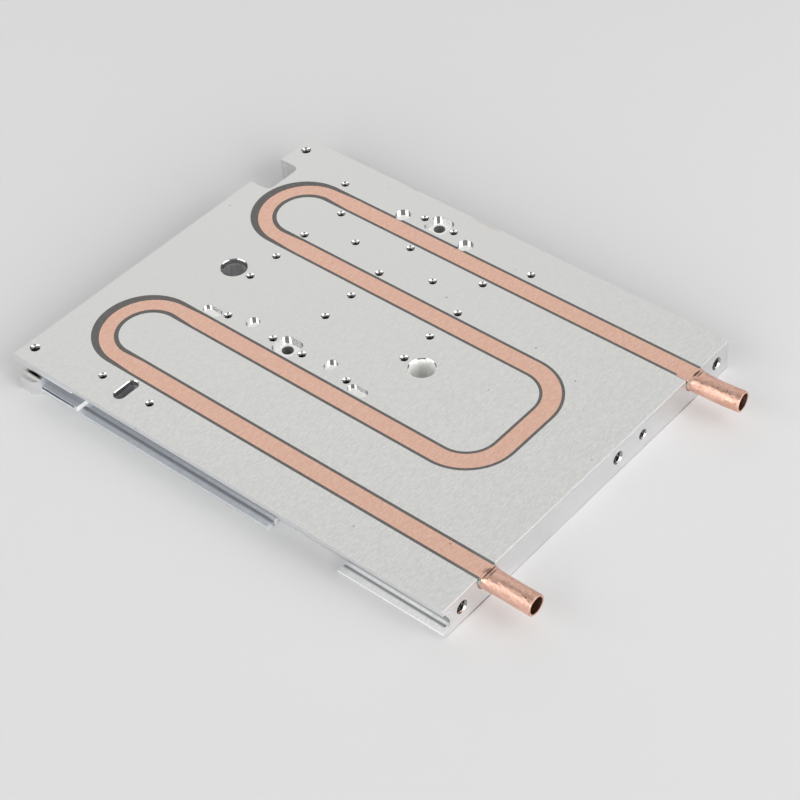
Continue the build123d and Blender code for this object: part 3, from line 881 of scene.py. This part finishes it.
# %% Screw threads: places and ridge
TOP_Z = 16.5 * MM
M4 = (3.3, 4.1, 0.7)               # core, mouth, pitch
M5 = (4.2, 5.3, 0.8)
M5_CORNER = (4.2, 5.0, 0.8)
M6 = (5.0, 6.6, 1.0)
PATTERN_X = -29.0                  # the pattern's middle, from which the next three are counted
GRID_X, GRID_Y = (-46.8, 0.0, 46.8), (3.9, 21.8, 41.6)
WIDE_ROW_X, WIDE_ROW_Y = (-43.3, 0.0, 43.3), 64.1
PAIRS = ((57.0, 82.6), (23.6, 51.9), (35.9, -22.6), (8.8, -21.75), (8.8, 85.4))    # half width, y
NEAR_PAIR = (-66.9, 14.7, -85.8)   # middle, half width, y
CORNER_HOLES = (-119.7, 91.5)      # x, half width in y
END_HOLES = ((-88.2, M6), (17.0, M6), (35.0, M5), (90.9, M6))                      # y, thread
TURN_STEPS, TAPER_STEPS = 28, 6.0  # steps in a turn, and those over which the ridge grows
WALL_BITE = 0.02 * MM              # how deep the ridge's foot sits in the wall
CREST_HEIGHT, CREST_HALF, FOOT_HALF, FIRST_CREST = 0.27, 0.07, 0.46, 0.15          # in pitches


def tapped_places():
    """Every tapped hole in the top: x, y and its thread, in millimetres."""
    places = [(PATTERN_X + dx, y, M4) for dx in GRID_X for y in GRID_Y]
    places += [(PATTERN_X + dx, WIDE_ROW_Y, M4) for dx in WIDE_ROW_X]
    places += [(PATTERN_X + side * half, y, M4) for half, y in PAIRS for side in (-1, 1)]
    middle, half, y = NEAR_PAIR
    places += [(middle + side * half, y, M4) for side in (-1, 1)]
    x, half = CORNER_HOLES
    places += [(x, side * half, M5_CORNER) for side in (-1, 1)]
    return places


def add_thread(bm, to_place, thread, turns):
    """One helical ridge on a hole's wall; the hole runs down the local -Z from a mouth at z = 0."""
    core, mouth, pitch = (v * MM for v in thread)
    wall, crest = core / 2 + WALL_BITE, core / 2 - CREST_HEIGHT * pitch
    start = -(mouth - core) / 2 - FIRST_CREST * pitch
    foot, edge = FOOT_HALF * pitch, CREST_HALF * pitch
    rows = []
    for i in range(int(turns * TURN_STEPS) + 1):
        angle = 2 * math.pi * i / TURN_STEPS
        z = start - pitch * i / TURN_STEPS
        grown = min(1.0, i / TAPER_STEPS, (turns * TURN_STEPS - i) / TAPER_STEPS)
        tip = wall + (crest - wall) * grown
        row = []
        for radius, dz in ((wall, foot), (tip, edge), (tip, -edge), (wall, -foot)):
            point = Vector((radius * math.cos(angle), radius * math.sin(angle), z + dz))
            row.append(bm.verts.new(to_place @ point))
        rows.append(row)
    for first, second in zip(rows, rows[1:]):
        for k in range(3):
            bm.faces.new((first[k], first[k + 1], second[k + 1], second[k]))
        bm.faces.new((first[3], first[0], second[0], second[3]))
    bm.faces.new(rows[0][::-1])
    bm.faces.new(rows[-1])


print(len(tapped_places()), "tapped holes in the top,", len(END_HOLES), "in the end face")

# %% [markdown]
# Cutting oil stays in the threads, so their metal is glossy, and it grows dark with depth, because
# little light gets down there. The lamps give that shade only roughly, so a ramp along the hole's
# axis helps them. The lying holes are seen at a slant and darken sooner.

# %% Screw threads: metal and pieces
THREAD_PALE, THREAD_DARK = (0.66, 0.65, 0.63), (0.11, 0.10, 0.095)
UPRIGHT_FADE = (0.4 * MM, 2.4 * MM)                        # depths where dark begins and is full
LYING_FADE = (0.0, 0.5 * MM)
UPRIGHT_TURNS, LYING_TURNS = 9, 10


def finish_piece(name, bm, material, smooth_angle=40.0):
    """Turns a bmesh into a piece that rides on the part."""
    bmesh.ops.recalc_face_normals(bm, faces=bm.faces)
    mesh = bpy.data.meshes.new(name)
    bm.to_mesh(mesh)
    bm.free()
    mesh.materials.append(material)
    mesh.shade_smooth()
    mesh.set_sharp_from_angle(angle=math.radians(smooth_angle))
    piece = bpy.data.objects.new(name, mesh)
    scene.collection.objects.link(piece)
    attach(piece, "root")
    print(name, len(mesh.polygons), "faces")


def make_thread_metal(name, axis, mouth, fade):
    """Oily aluminium, darker with depth. axis points out of the hole, and mouth lies along it."""
    material, tree, shader = new_material(name)
    where, _ = part_position(tree)
    depth = maths(tree, "SUBTRACT", mouth, reach_along(tree, where, axis))
    tone = mixed(tree, ramp_between(tree, depth, *fade), THREAD_PALE, THREAD_DARK)
    tree.links.new(tone, shader.inputs["Base Color"])
    shader.inputs["Metallic"].default_value = 1.0
    shader.inputs["Roughness"].default_value = 0.22
    return material


def make_threads():
    bm = bmesh.new()
    for x, y, thread in tapped_places():
        add_thread(bm, Matrix.Translation((x * MM, y * MM, TOP_Z)), thread, UPRIGHT_TURNS)
    metal = make_thread_metal("oily_thread_upright", (0, 0, 1), TOP_Z, UPRIGHT_FADE)
    finish_piece("top_hole_threads", bm, metal)
    bm = bmesh.new()
    lying = Matrix.Rotation(math.pi / 2, 4, "Y")
    for y, thread in END_HOLES:
        mouth = Matrix.Translation((EXIT_X, y * MM, END_HOLE_Z * MM))
        add_thread(bm, mouth @ lying, thread, LYING_TURNS)
    metal = make_thread_metal("oily_thread_lying", (1, 0, 0), EXIT_X, LYING_FADE)
    finish_piece("end_hole_threads", bm, metal)


make_threads()

# %% [markdown]
# Where the groove leaves the plate, a little epoxy was pushed out and set as beads on the end face.
# They lay outside the fly cutter's reach, so they stay round. A squashed ball with a wobble is
# enough; a sculpted drop would look no different at this size.

# %% Epoxy beads
BEADS = (  # centre and half sizes, mm
    ((125.8, -77.2, 15.5), (0.85, 0.75, 1.0)),
    ((125.3, -77.7, 14.4), (0.55, 0.5, 1.2)),
    ((125.9, -68.2, 15.9), (0.9, 0.5, 0.5)),
    ((126.3, 68.1, 16.1), (1.0, 0.6, 0.55)),
    ((125.3, 67.4, 13.9), (0.4, 0.4, 1.1)),
)
BEAD_DARK, BEAD_PALE = (0.10, 0.13, 0.12), (0.40, 0.46, 0.43)
WOBBLE = 0.10                      # share of a bead's size
WOBBLE_TURNS = (3.0, 2.5, 2.0)     # radians per radius along x, y and z
BEAD_BUMP = dict(distance=0.0001, strength=0.5)


def make_bead_material():
    material, tree, shader = new_material("epoxy_beads_grey")
    where, _ = part_position(tree)
    grain = use_group(tree, scratch_group, where, Per_Metre=(900.0, 900.0, 900.0), Contrast=1.8)
    tone = mixed(tree, grain["Scratch"], BEAD_DARK, BEAD_PALE)
    tree.links.new(tone, shader.inputs["Base Color"])
    shader.inputs["Roughness"].default_value = 0.35
    tree.links.new(bump(tree, grain["Scratch"], **BEAD_BUMP), shader.inputs["Normal"])
    return material


def make_beads():
    bm = bmesh.new()
    rng = random.Random(4)
    for centre, half_size in BEADS:
        ball = bmesh.ops.create_icosphere(bm, subdivisions=3, radius=1.0)["verts"]
        phase = rng.random() * 6.0
        for vert in ball:
            x, y, z = (turns * v for turns, v in zip(WOBBLE_TURNS, vert.co))
            wobble = 1.0 + WOBBLE * math.sin(x + z + phase) * math.cos(y)
            place = [(c + h * v * wobble) * MM for c, h, v in zip(centre, half_size, vert.co)]
            vert.co = Vector(place)
    finish_piece("epoxy_beads", bm, make_bead_material(), 80.0)


make_beads()
